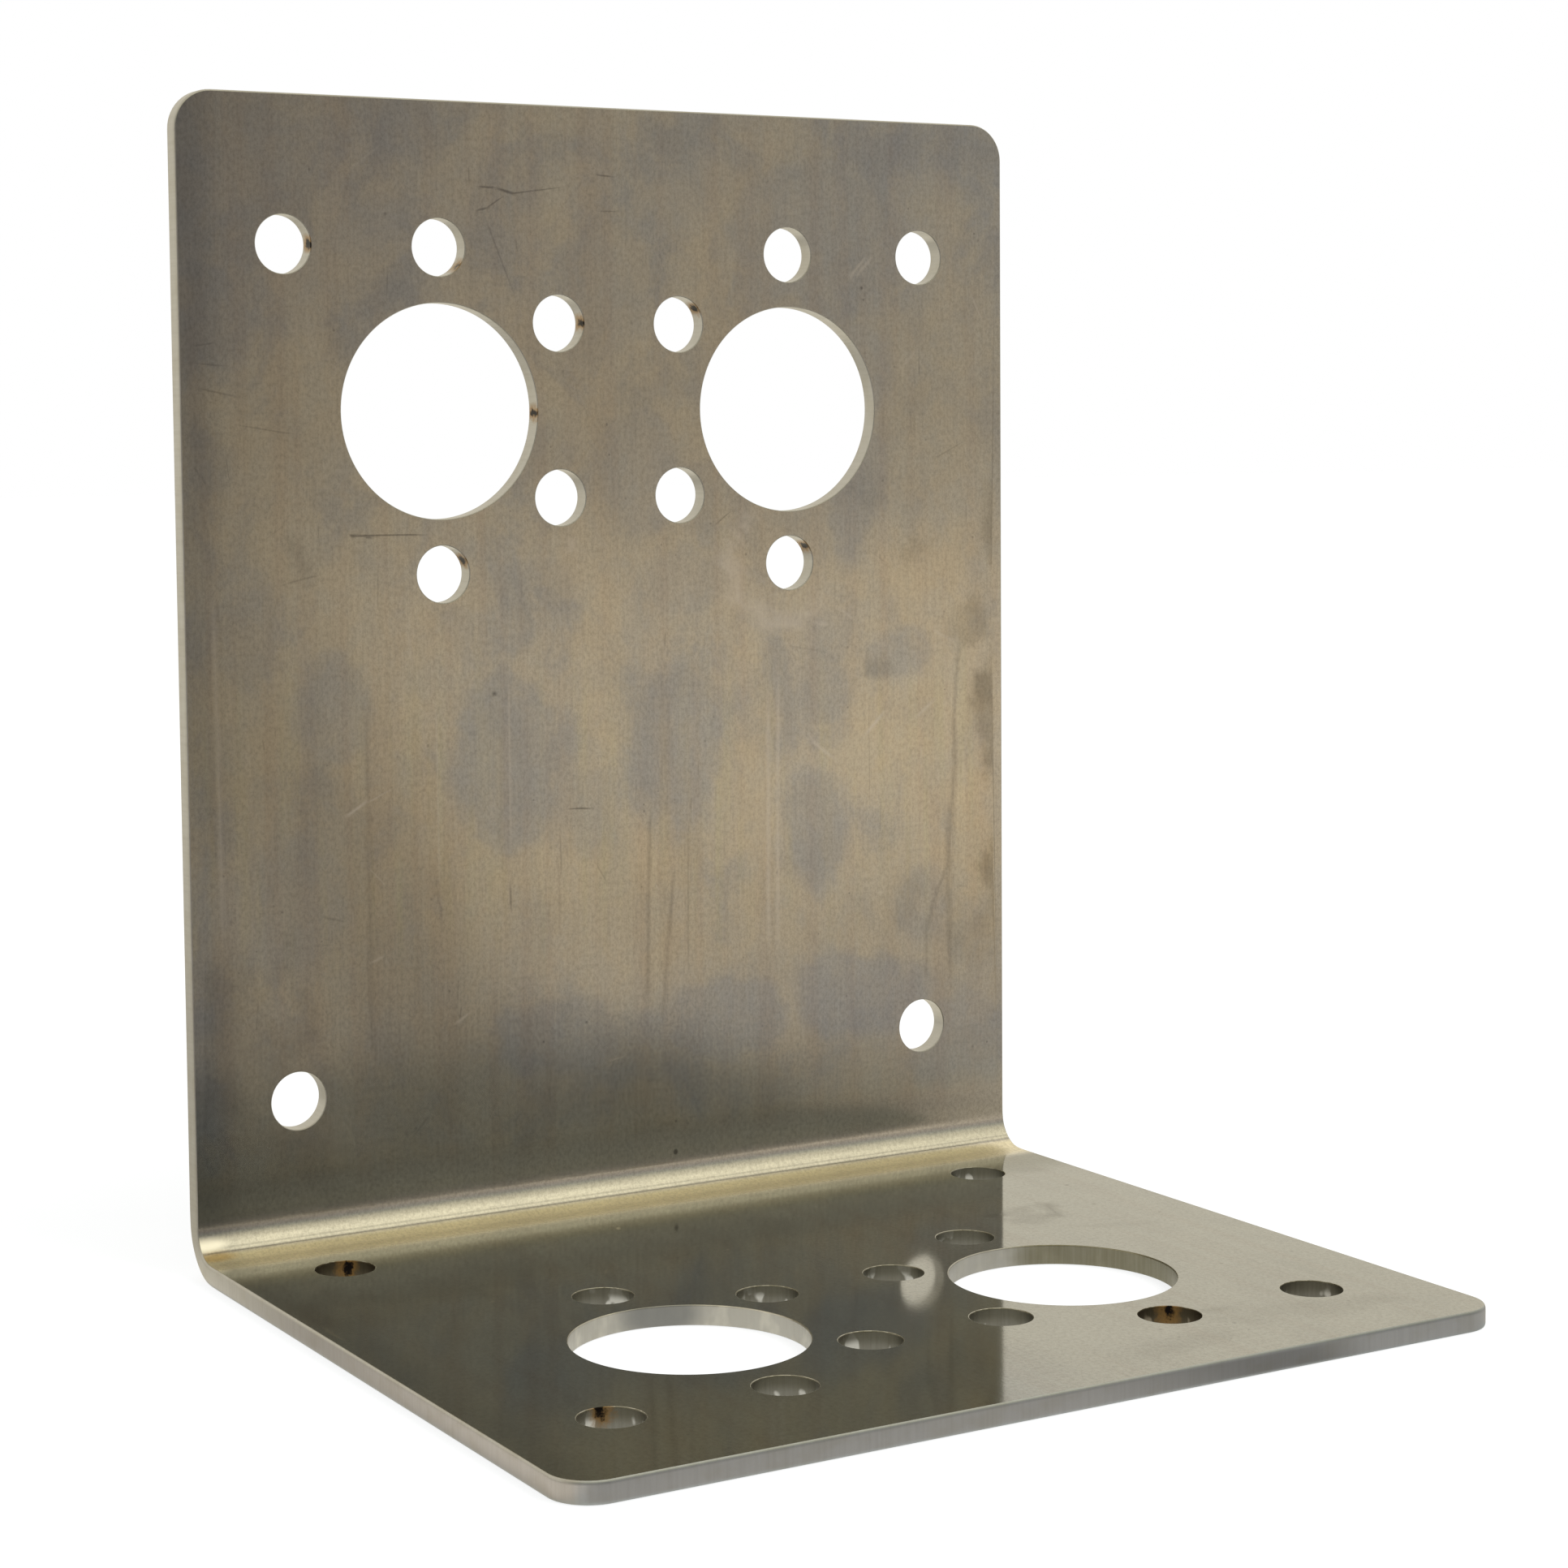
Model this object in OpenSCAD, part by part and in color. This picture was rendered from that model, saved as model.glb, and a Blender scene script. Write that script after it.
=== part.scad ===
// L bracket, one folded plate of stainless sheet
// Millimetres, +Z up. The lower leg lies flat and runs to -Y, the upright leg stands at +Y.
// Origin: middle of the footprint, on the plane the lower leg rests on.

/* [Plate] */
// Width of both legs, along the fold
plate_w = 100; // [92:1:140]
// Height of the upright leg, from the underside
upright_h = 120; // [105:1:180]
// Depth of the lower leg, from the back of the upright
lower_d = 84; // [76:1:140]
// Thickness of the sheet
sheet_t = 2; // [1:0.5:3]
// Radius of the fold, on its inside
fold_r = 3.2; // [1.2:0.2:5]
// Radius of the four outer corners
corner_r = 4; // [1:0.5:8]

/* [Large holes] */
// Diameter of the large holes
large_d = 22.5; // [16:0.5:25]
// Distance between the two large holes of a leg
large_pitch = 42.4; // [40:0.2:46]

/* [Screw holes] */
// Diameter of the screw holes
screw_d = 6; // [3:0.5:7]
// Height between the screw holes above and below a large hole
pair_pitch = 34; // [34:0.5:36]
// How far the inner screw holes stand from their large hole, towards the middle
inner_x = 13.9; // [13.5:0.1:15]
// Distance between the two inner screw holes of a large hole
inner_pitch = 18.5; // [17:0.5:24]
// Distance between the left and right corner holes
corner_pitch = 77; // [74:1:80]

/* [Rows of holes] */
// Top row of the upright leg, from its top edge
upright_margin = 15.2; // [8:0.2:20]
// Low row of the upright leg, from the underside
upright_low_row = 17; // [12:0.5:30]
// Front row of the lower leg, from its front edge
lower_margin = 14.2; // [8:0.2:16]
// Back row of the lower leg, from the back of the upright
lower_back_row = 13.2; // [12:0.2:14]

/* [Hidden] */
$fn = 96;
eps = 1;
fold_out_r = fold_r + sheet_t;
back_y = lower_d / 2;
half_w = plate_w / 2;
// Centre line of the large holes, measured along each leg from the fold's outer corner
upright_large = upright_h - upright_margin - pair_pitch / 2;
lower_large = lower_d - lower_margin - pair_pitch / 2;

// Side view of the folded sheet: x is the distance from the back, y is the height
module fold_profile() {
  // Upright strip
  translate([0, fold_out_r])
    square([sheet_t, upright_h - fold_out_r]);
  // Lower strip
  translate([fold_out_r, 0])
    square([lower_d - fold_out_r, sheet_t]);
  // Fold, a quarter of a ring
  intersection() {
    translate([fold_out_r, fold_out_r])
      difference() {
        circle(r = fold_out_r);
        circle(r = fold_r);
      }
    square(fold_out_r);
  }
}

// The sheet bent to shape, before anything is cut
module folded_sheet() {
  translate([-half_w, back_y, 0])
    rotate([90, 0, 90])
      mirror([1, 0, 0])
        linear_extrude(plate_w)
          fold_profile();
}

// Cut area of one leg in the flat: x across the leg, y along it from the fold's outer corner
module leg_cuts(leg_l, large_y, outer_row, corner_row) {
  for (side = [-1, 1]) {
    // Large hole
    translate([side * large_pitch / 2, large_y])
      circle(d = large_d);
    for (end = [-1, 1]) {
      // Screw holes above and below it
      translate([side * large_pitch / 2, large_y + end * pair_pitch / 2])
        circle(d = screw_d);
      // Screw holes between it and the middle of the leg
      translate([side * (large_pitch / 2 - inner_x), large_y + end * inner_pitch / 2])
        circle(d = screw_d);
    }
    // Corner holes, one in the outer row and one near the fold
    for (row = [outer_row, corner_row])
      translate([side * corner_pitch / 2, row])
        circle(d = screw_d);
    // Waste outside the rounded corner
    translate([side * (half_w - corner_r), leg_l - corner_r])
      difference() {
        translate([side > 0 ? 0 : -corner_r - eps, 0])
          square(corner_r + eps);
        circle(r = corner_r);
      }
  }
}

// The whole bracket: one sheet, cut and folded
module bracket() {
  color([0.62, 0.6, 0.57])
    difference() {
      folded_sheet();
      // Cuts of the upright leg, straight through it along Y
      translate([0, back_y + eps, 0])
        rotate([90, 0, 0])
          linear_extrude(sheet_t + 2 * eps)
            leg_cuts(upright_h, upright_large, upright_h - upright_margin, upright_low_row);
      // Cuts of the lower leg, straight through it along Z
      translate([0, back_y, sheet_t + eps])
        rotate([180, 0, 0])
          linear_extrude(sheet_t + 2 * eps)
            leg_cuts(lower_d, lower_large, lower_d - lower_margin, lower_back_row);
    }
}

bracket();
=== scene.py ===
import math

import bpy
import numpy as np
from mathutils import Matrix, Vector
from mathutils.geometry import delaunay_2d_cdt


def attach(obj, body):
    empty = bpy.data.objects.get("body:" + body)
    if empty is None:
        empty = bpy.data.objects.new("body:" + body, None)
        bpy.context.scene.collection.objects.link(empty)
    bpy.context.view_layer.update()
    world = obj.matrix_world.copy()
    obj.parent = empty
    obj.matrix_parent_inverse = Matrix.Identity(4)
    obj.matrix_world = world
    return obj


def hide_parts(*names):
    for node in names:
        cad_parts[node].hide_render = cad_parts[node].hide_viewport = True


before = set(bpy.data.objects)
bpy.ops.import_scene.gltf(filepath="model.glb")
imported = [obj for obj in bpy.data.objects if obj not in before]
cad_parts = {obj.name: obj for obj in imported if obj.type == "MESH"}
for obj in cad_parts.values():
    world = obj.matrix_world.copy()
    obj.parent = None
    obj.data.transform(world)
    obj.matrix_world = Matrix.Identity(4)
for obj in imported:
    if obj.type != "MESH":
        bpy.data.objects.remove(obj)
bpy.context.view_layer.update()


# The bracket: one plate of 2 mm stainless sheet with a mill finish, cut to its outline by laser
# with all its holes, deburred, and folded once on a press brake. Sizes are in millimetres.
MM = 0.001
SHEET_T = 2.0
PLATE_W = 100.0
UPRIGHT_H = 120.0
LOWER_D = 84.0
CORNER_R = 4.0
FOLD_INSIDE_R = 3.2
FOLD_MIDDLE_R = FOLD_INSIDE_R + SHEET_T / 2
FOLD_EASE = 1.5      # the curvature comes and goes over this much each side of the fold's ends
FOLD_LENGTH = FOLD_MIDDLE_R * math.pi / 2
FOLD_SWELL = 0.08    # how far the pressed inside of the fold swells out at the plate's edges
EDGE_HALF_W = PLATE_W / 2 - FOLD_SWELL
BACK_Y = LOWER_D / 2
MIDDLE_Y = BACK_Y - SHEET_T / 2

LARGE_R = 11.25
SCREW_R = 3.0
LARGE_X = 21.2
INNER_X = 7.3
CORNER_X = 38.5
UPRIGHT_LARGE_Z = 87.8
LOWER_LARGE_Y = -10.8
PAIR_STEP = 17.0
INNER_STEP = 9.25
UPRIGHT_ROWS = (104.8, 17.0)
LOWER_ROWS = (-27.8, 28.8)


def smooth(v):
    """3 v^2 - 2 v^3, with v held between 0 and 1."""
    v = np.clip(v, 0.0, 1.0)
    return v * v * (3.0 - 2.0 * v)


def fold_line():
    """Side view of the sheet's middle surface over the fold.

    The curvature is 1 / R, smoothed at both ends; its integral over the length s is the turn a,
    and the integrals of cos(a) and sin(a) are the run along Y and the rise along Z.
    """
    s = np.linspace(-FOLD_EASE, FOLD_LENGTH + FOLD_EASE, 8001)
    on = smooth((s + FOLD_EASE) / (2 * FOLD_EASE))
    off = smooth((s - FOLD_LENGTH + FOLD_EASE) / (2 * FOLD_EASE))
    curvature = (on - off) / FOLD_MIDDLE_R
    step = s[1] - s[0]

    def total(f):
        return np.concatenate([[0.0], np.cumsum((f[1:] + f[:-1]) * step / 2)])

    turn = total(curvature)
    turn *= (math.pi / 2) / turn[-1]
    run, rise = total(np.cos(turn)), total(np.sin(turn))
    return s, turn, run - run[-1] + MIDDLE_Y, rise + SHEET_T / 2


LINE_S, LINE_TURN, LINE_Y, LINE_Z = fold_line()
FOLD_START, FOLD_END = LINE_S[0], LINE_S[-1]


def turn_at(s):
    """Angle of the sheet at s: 0 on the lower leg, 90 degrees on the upright."""
    return np.interp(s, LINE_S, LINE_TURN)


def bend(x, s, t):
    """Folds the flat blank: x across it, s along it, t from 0 on its outer face to 2 on its inner.

    (x, s, t) goes to (X, Y(s) - (t - 1) sin a, Z(s) + (t - 1) cos a), where a is the turn at s;
    beyond the fold Y or Z grows with s. At the plate's two edges the fold's inside swells by
    FOLD_SWELL and its outside draws in, as the metal does there.
    """
    a = turn_at(s)
    before, beyond = np.minimum(s - FOLD_START, 0.0), np.maximum(s - FOLD_END, 0.0)
    y = np.interp(s, LINE_S, LINE_Y) + before - (t - SHEET_T / 2) * np.sin(a)
    z = np.interp(s, LINE_S, LINE_Z) + beyond + (t - SHEET_T / 2) * np.cos(a)
    at_edge = smooth((np.abs(x) - (EDGE_HALF_W - 5.0)) / 5.0)
    along = np.exp(-(((s - FOLD_LENGTH / 2) / 3.0) ** 2))
    swell = FOLD_SWELL * (t - SHEET_T / 2) / (SHEET_T / 2) * along * at_edge
    return np.stack([x + np.sign(x) * swell, y, z], axis=-1)


def upright_s(z):
    """Place along the blank of height z on the upright."""
    return z - LINE_Z[-1] + FOLD_END


def lower_s(y):
    """Place along the blank of depth y on the lower leg."""
    return y - LINE_Y[0] + FOLD_START


FRONT_S = lower_s(-LOWER_D / 2)
TOP_S = upright_s(UPRIGHT_H)


def leg_holes(place, large, rows):
    """Middles and radii (x, s, r) of one leg's holes, numbered from 0.

    On the left, then from 7 on the right: the large hole, a screw hole before it along the leg and
    one towards the middle, the same two beyond it, and the corner hole of each row.
    """
    holes = []
    for side in (-1, 1):
        holes.append((side * LARGE_X, place(large), LARGE_R))
        for end in (-1, 1):
            holes.append((side * LARGE_X, place(large + end * PAIR_STEP), SCREW_R))
            holes.append((side * INNER_X, place(large + end * INNER_STEP), SCREW_R))
        for row in rows:
            holes.append((side * CORNER_X, place(row), SCREW_R))
    return holes


UPRIGHT_HOLES = leg_holes(upright_s, UPRIGHT_LARGE_Z, UPRIGHT_ROWS)
LOWER_HOLES = leg_holes(lower_s, LOWER_LARGE_Y, LOWER_ROWS)

# Rows of the fold's strip. The nose of the punch left two fine lines, NOSE apart, so the rows
# stand closer there.
NOSE = 0.82
NOSE_DEPTH = 0.016
NOSE_WIDTH = 0.11
STRIP_S = np.unique(np.round(np.concatenate([
    np.linspace(FOLD_START - 0.6, FOLD_END + 0.6, 62),
    np.linspace(FOLD_LENGTH / 2 - 1.1, FOLD_LENGTH / 2 + 1.1, 49),
]), 5))
ROWS, ARC = len(STRIP_S), 15        # rows of the strip, and points of each rounded corner


def cut_profile(inset, depth, flat, steps=7):
    """Cut edge of the sheet from its inner face to its outer face, for cut_band.

    Rows of (inset from the cut, t, normal away from the metal, normal along t): a rim flat wide,
    a quarter of an ellipse inset wide and depth deep, the straight wall, and the same again
    mirrored, a little sharper, at the outer face.
    """
    a = np.linspace(0.0, math.pi / 2, steps)
    rows = []
    for face, size in ((1, 1.0), (-1, 0.7)):
        i, d = inset * size, depth * size
        away, up = np.sin(a) / i, np.cos(a) / d
        length = np.hypot(away, up)
        t = SHEET_T / 2 + face * (SHEET_T / 2 - d * (1 - np.cos(a)))
        arc = np.column_stack([i * (1 - np.sin(a)), t, away / length, face * up / length])
        part = np.concatenate([[[inset + flat, SHEET_T / 2 * (1 + face), 0.0, face]], arc])
        rows.append(part if face > 0 else part[::-1])
    return np.concatenate(rows)


def cut_band(x, s, out_x, out_s, profile):
    """Carries cut_profile along a closed cut: point (i, j) is cut point i moved inset j inwards.

    Gives points (x, s, t), normals in the blank, faces and the finish of each face: 0 for the
    two flat rims, 1 for what the laser cut.
    """
    inset, t, away, up = profile.T
    n, m = len(x), len(t)
    px = x[:, None] - inset * out_x[:, None]
    ps = s[:, None] - inset * out_s[:, None]
    points = np.stack([px, ps, np.broadcast_to(t, (n, m))], axis=-1).reshape(-1, 3)
    normals = np.stack([away * out_x[:, None], away * out_s[:, None],
                        np.broadcast_to(up, (n, m))], axis=-1).reshape(-1, 3)
    i, j = np.meshgrid(np.arange(n), np.arange(m - 1), indexing="ij")
    k = (i + 1) % n
    faces = np.stack([i * m + j, i * m + j + 1, k * m + j + 1, k * m + j], axis=-1).reshape(-1, 4)
    return points, normals, faces, ((j > 0) & (j < m - 2)).astype(int).ravel()


def outline():
    """The blank's outline, counter-clockwise: straight sides and four arcs of CORNER_R."""
    quarter = np.linspace(0.0, math.pi / 2, ARC)
    w, low, high = EDGE_HALF_W - CORNER_R, FRONT_S + CORNER_R, TOP_S - CORNER_R
    arcs = []
    for turns, cx, cs in ((-1, w, low), (0, w, high), (1, -w, high), (2, -w, low)):
        a = quarter + turns * math.pi / 2
        arcs.append(np.column_stack([cx + CORNER_R * np.cos(a), cs + CORNER_R * np.sin(a),
                                     np.cos(a), np.sin(a)]))
    one = np.ones_like(STRIP_S)
    right = np.column_stack([EDGE_HALF_W * one, STRIP_S, one, 0.0 * one])
    left = right[::-1] * [-1.0, 1.0, -1.0, 1.0]
    return np.concatenate([arcs[0], right, arcs[1], arcs[2], left, arcs[3]])


# How far a cut's rounding reaches into the face, how deep it goes, and the flat rim beside it.
EDGE_INSET, EDGE_DEPTH, EDGE_FLAT = 0.2, 0.42, 0.5
HOLE_INSET, HOLE_DEPTH, HOLE_FLAT = 0.1, 0.16, 0.4
EDGE_PROFILE = cut_profile(EDGE_INSET, EDGE_DEPTH, EDGE_FLAT)
HOLE_PROFILE = cut_profile(HOLE_INSET, HOLE_DEPTH, HOLE_FLAT)
parts = [cut_band(*outline().T, EDGE_PROFILE)]      # points, normals, faces and their finish
edge_grid = parts[0][0].reshape(-1, len(EDGE_PROFILE), 3)
hole_rings = {}
for hx, hs, r in UPRIGHT_HOLES + LOWER_HOLES:
    around = 120 if r == LARGE_R else 60
    a = -np.arange(around) * 2 * math.pi / around
    ca, sa = np.cos(a), np.sin(a)
    parts.append(cut_band(hx + r * ca, hs + r * sa, -ca, -sa, HOLE_PROFILE))
    hole_rings[hx, hs] = parts[-1][0].reshape(around, len(HOLE_PROFILE), 3)


def punch_lines(x, s):
    """Depth of the two fine lines: a sum of two narrow bells at +-NOSE / 2 from the fold's middle.

    Their depth swings slowly along x, as the punch pressed harder in some places.
    """
    at = s - FOLD_LENGTH / 2
    swing = 1.0 + 0.22 * np.sin(0.31 * x + 0.8) + 0.13 * np.sin(1.13 * x + 2.1)
    lines = np.exp(-(((at - NOSE / 2) / NOSE_WIDTH) ** 2)) \
        + 0.9 * np.exp(-(((at + NOSE / 2) / NOSE_WIDTH) ** 2))
    return NOSE_DEPTH * swing * lines


# The fold's strip on both faces: a grid of x and s between the rims of the two side edges. Its
# columns stand closer near those edges.
RIM_X = EDGE_HALF_W - EDGE_INSET - EDGE_FLAT
strip_x = RIM_X * np.sin(np.linspace(-1.0, 1.0, 81) * math.pi / 2) * 0.45 \
    + np.linspace(-RIM_X, RIM_X, 81) * 0.55
for face_t in (SHEET_T, 0.0):
    gx, gs = np.meshgrid(strip_x, STRIP_S, indexing="ij")
    inside = face_t > 0
    fade = smooth((RIM_X + 0.45 - np.abs(gx)) / 0.5)
    gt = np.full_like(gx, face_t) - (punch_lines(gx, gs) * fade if inside else 0.0)
    n, m = gx.shape
    i, j = np.meshgrid(np.arange(n - 1), np.arange(m - 1), indexing="ij")
    quads = np.stack([i * m + j, (i + 1) * m + j, (i + 1) * m + j + 1, i * m + j + 1],
                     axis=-1).reshape(-1, 4)
    slope = np.gradient(gt, STRIP_S, axis=1)
    up = 1.0 if inside else -1.0
    grid_n = np.stack([np.zeros_like(gx), -slope * up, np.full_like(gx, up)], axis=-1)
    grid_n /= np.linalg.norm(grid_n, axis=-1, keepdims=True)
    parts.append((np.stack([gx, gs, gt], axis=-1).reshape(-1, 3), grid_n.reshape(-1, 3),
                  quads if inside else quads[:, ::-1], np.zeros(len(quads), int)))


# The marks that handling, oil and tools left on the inner faces. The upright's are given by
# (x, z), the lower leg's by (x, y). Oval stains: middle, half width, half height, strength, and
# the turn in degrees where there is one. Lines: both ends, half width, strength. Specks: middle,
# radius, strength.
COOL_STAINS = [
    (6.5, 51.5, 6.3, 9.8, 0.95), (-14.5, 50.5, 6.6, 9.6, 0.95, 3), (-34, 57, 4.8, 5.6, 0.7),
    (24.2, 41, 4.6, 7.5, 0.9, 10), (25, 56, 4, 4.6, 0.7), (2.5, 81, 5.2, 7, 0.6),
    (30.3, 79, 3.6, 8.5, 0.75, -12), (-12, 27.5, 7, 3.6, 0.1), (-28, 27.5, 6, 4.4, 0.1),
    (30, 21.5, 10, 4.8, 0.9, -6), (12, 20.5, 9, 4.6, 0.8), (-8, 20.5, 9, 4.2, 0.8),
    (-40, 37, 7.5, 7.5, 0.6), (38.5, 31, 3.6, 5, 0.5), (35.5, 60, 4.6, 3, 0.7, 10),
    (-4.5, 46, 4.7, 4.4, 0.5), (26, 107, 13, 9, 0.75), (44, 13, 7, 8, 0.5), (-43, 112, 9, 9, 0.7),
    (-28, 100, 8, 4, 0.4, 30), (0, 103, 5, 8, 0.5), (30, 92, 5, 6, 0.5), (-10, 68, 5, 4, 0.4),
    (8, 69, 5, 4, 0.5),
]
TAN_STAINS = [
    (40, 69.5, 6.5, 6, 0.9), (42, 86, 6.5, 9, 0.6), (45.5, 38, 3.6, 8, 1),
    (34, 50, 9, 4.6, 0.6, 15), (-3, 60, 3, 7, 0.6), (-22, 42, 9, 6.5, 0.7),
    (0, 38.5, 14, 3.6, 0.6), (16.5, 46, 2.6, 16, 0.6), (30.5, 83, 3, 3, 0.35),
    (19, 72, 6.2, 8, 0.35), (43, 98, 6, 4, 0.4, 30), (-30, 50, 5, 9, 0.6), (-21, 66, 4, 5, 0.4),
    (5, 29, 9, 3, 0.4), (-41, 52, 4, 6, 0.4), (43, 110, 5, 3, 0.3, 40), (17, 112, 3, 5, 0.25),
    (-3, 88, 2, 3, 0.3),
]
DARK_STAINS = [
    (48.6, 53, 2.2, 5.6, 0.9), (48.2, 74.6, 0.9, 4.6, 0.9), (49, 34, 1.4, 4, 0.7),
    (33, 58.4, 1.5, 1.1, 0.5), (38.2, 71.8, 1.6, 1.4, 0.3), (-37.6, 73.4, 0.9, 2.6, 0.4, 15),
    (46.5, 27, 3.4, 3, 0.4), (31, 79, 2.4, 2.6, 0.25), (36.5, 32, 2.2, 4, 0.3),
    (-46, 24, 7, 8, 0.35), (45.5, 63, 3, 2.4, 0.5),
]
LOWER_STAINS = [
    (32.3, 12.6, 3.6, 0.9, 1, 12), (35.4, 10.2, 0.8, 3, 0.9, -20), (31.5, 9, 2.4, 2.4, 0.45),
    (38, 2, 6, 0.6, 0.3, -18), (26, -28.6, 1.4, 0.7, 0.5), (42.5, -20, 0.5, 10, 0.3, 4),
    (33, -33, 9, 2.6, 0.3, -8), (17, -36, 8, 2, 0.3, 10), (44, 27, 2.6, 1.2, 0.3),
    (-44, 14, 5, 7, 0.35), (-30, 18, 9, 5, 0.3, 30), (4, 22, 8, 5, 0.25),
]
DARK_LINES = [
    (-31.5, 75.1, -23, 75, 0.13, 0.9), (-31.9, 75.1, -30.9, 75.1, 0.24, 0.9),
    (-30.2, 74.9, -29.2, 74.9, 0.26, 0.8), (-16.8, 111.2, -14.4, 111.1, 0.16, 0.8),
    (-14.5, 111.1, -12.2, 110.5, 0.22, 0.9), (-12.6, 110.6, -6.5, 111.4, 0.12, 0.6),
    (-16.9, 108.7, -15.4, 109, 0.16, 0.8), (-15.6, 109, -13.4, 110.4, 0.12, 0.7),
    (-16, 108.5, -12.6, 100.2, 0.14, 0.4), (-17.6, 113.2, -17.6, 111.3, 0.1, 0.5),
    (-2.8, 112.8, -0.3, 112.7, 0.15, 0.7), (-2.6, 109, 0.2, 109, 0.12, 0.5),
    (-7.1, 45.2, -3.6, 45, 0.14, 0.9), (-48.6, 92.8, -44.6, 92.4, 0.15, 0.4),
    (-48.6, 90.4, -43, 89.2, 0.16, 0.4), (-48.4, 94.4, -46, 94.8, 0.12, 0.4),
    (-44, 86.6, -37.5, 85.5, 0.13, 0.35), (3.2, 45, 2.9, 36, 0.42, 0.36),
    (2.9, 37, 2.6, 23, 0.45, 0.38), (6.1, 38, 5.2, 29, 0.34, 0.36), (5.3, 31, 4.5, 21, 0.5, 0.28),
    (7.9, 43, 7.7, 26, 0.2, 0.3), (-13.9, 38, -13.9, 34.3, 0.18, 0.6),
    (-30.2, 60, -30.3, 22, 0.5, 0.22), (43.8, 61, 43.1, 52, 0.4, 0.34),
    (43.1, 53, 43.3, 46, 0.6, 0.42), (43.3, 47, 42.5, 40, 0.66, 0.38),
    (42.6, 41, 42.2, 34, 0.8, 0.42), (42.2, 36, 42.5, 22, 0.66, 0.30),
    (42, 35, 40.6, 32, 0.4, 0.34), (40.8, 33, 39.3, 28, 0.5, 0.26),
    (39.3, 30, 39.1, 22, 0.55, 0.26), (32.9, 39.2, 33.1, 44, 0.18, 0.25),
    (31.5, 55, 31.6, 42, 0.14, 0.25), (-8.2, 40.5, -8, 31.5, 0.3, 0.2),
    (-36, 36, -32.5, 35, 0.22, 0.3), (-22.6, 39, -21.8, 33, 0.35, 0.25),
    (13.8, 76.8, 11.4, 75, 0.12, 0.5), (-49, 83, -46.8, 80, 0.2, 0.25),
    (20.6, 61.6, 26, 60.6, 0.2, 0.25),
]
PALE_LINES = [
    (28.9, 102, 31.6, 104.9, 0.3, 0.55), (30.1, 102.6, 32.6, 105, 0.34, 0.5),
    (30.9, 50.9, 34, 53.9, 0.34, 0.6), (23.4, 51.2, 27.2, 48.2, 0.34, 0.55),
    (37.6, 52.4, 40.8, 54.8, 0.3, 0.4), (-33, 45.9, -30.2, 47.6, 0.26, 0.7),
    (-30.4, 47.3, -27.4, 48.7, 0.16, 0.4), (-30.4, 30.5, -28.4, 31.3, 0.26, 0.5),
    (-20.8, 23.1, -18.6, 24.4, 0.24, 0.6), (45.5, 101.2, 47.2, 97.8, 0.2, 0.4),
    (18.3, 58, 18, 27, 0.4, 0.4), (19.6, 60, 19.2, 27, 0.36, 0.4),
    (-13.8, 60, -13.8, 41, 0.2, 0.35), (-6.2, 72.4, -5.9, 74.6, 0.9, 0.4),
    (-22.3, 58, -22.2, 38, 0.2, 0.25), (-46.8, 70, -46.4, 33, 0.5, 0.3),
    (27.4, 65.6, 29.6, 64.2, 0.3, 0.4), (24, 64, 26.5, 63.6, 0.4, 0.45),
    (-31.2, 112.4, -27.2, 115.4, 0.2, 0.25), (36, 92.2, 38.4, 94.6, 0.3, 0.25),
    (-25.4, 66, -25, 61, 0.4, 0.25), (40, 62.6, 43.6, 61, 0.3, 0.3),
]
LOWER_LINES = [
    (-17.3, 13, -16.3, 14.8, 0.2, 0.45), (-7.9, 27.8, -7.3, 29, 0.34, 1),
    (-31.5, 9.6, -31, 10.4, 0.3, 0.4), (-29.2, 10, -28.7, 10.6, 0.24, 0.4),
    (-2.4, 14.6, -2, 15, 0.16, 1), (-48.9, 5, -48.7, 11, 0.4, 0.3),
]
SPECKS = [
    (-15.5, 58, 0.42, 1), (30.9, 101.3, 0.3, 1), (31.1, 100, 0.2, 0.8),
]


def waves(x, s, longest, seed):
    """A rough field of about -1 to 1: sines in all directions, each a bit shorter and weaker."""
    rng = np.random.default_rng(seed)
    total, size = 0.0, 0.0
    for k in range(22):
        angle, phase = rng.uniform(0.0, 2.0 * math.pi, 2)
        weight = 0.9 ** k
        rate = 2.0 * math.pi / (longest * 0.87 ** k)
        total = total + weight * np.sin(rate * (x * math.cos(angle) + s * math.sin(angle)) + phase)
        size += weight * weight / 2.0
    return total / math.sqrt(size) / 2.0


def stains_at(x, s, place_s, stains, soft, wander):
    """Strength of ragged oval stains at blank points: the strongest one wins."""
    rough = waves(x, s, 9.0, 5) * wander
    total = np.zeros_like(x)
    for cx, cz, rx, rz, strength, *turn in stains:
        angle = math.radians(sum(turn))
        c, w = math.cos(angle), math.sin(angle)
        dx, ds = x - cx, s - place_s(cz)
        away = np.hypot((dx * c + ds * w) / rx, (ds * c - dx * w) / rz) + rough
        total = np.maximum(total, strength * (1.0 - smooth((away - 1.0 + soft) / (2.0 * soft))))
    return total


def line_parts(line, place_s):
    """Start, direction, length, half width and strength of a line in the blank."""
    ax, az, bx, bz, half, strength = line
    start, end = np.array([ax, place_s(az)]), np.array([bx, place_s(bz)])
    length = np.linalg.norm(end - start)
    return start, (end - start) / length, length, half, strength


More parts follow.
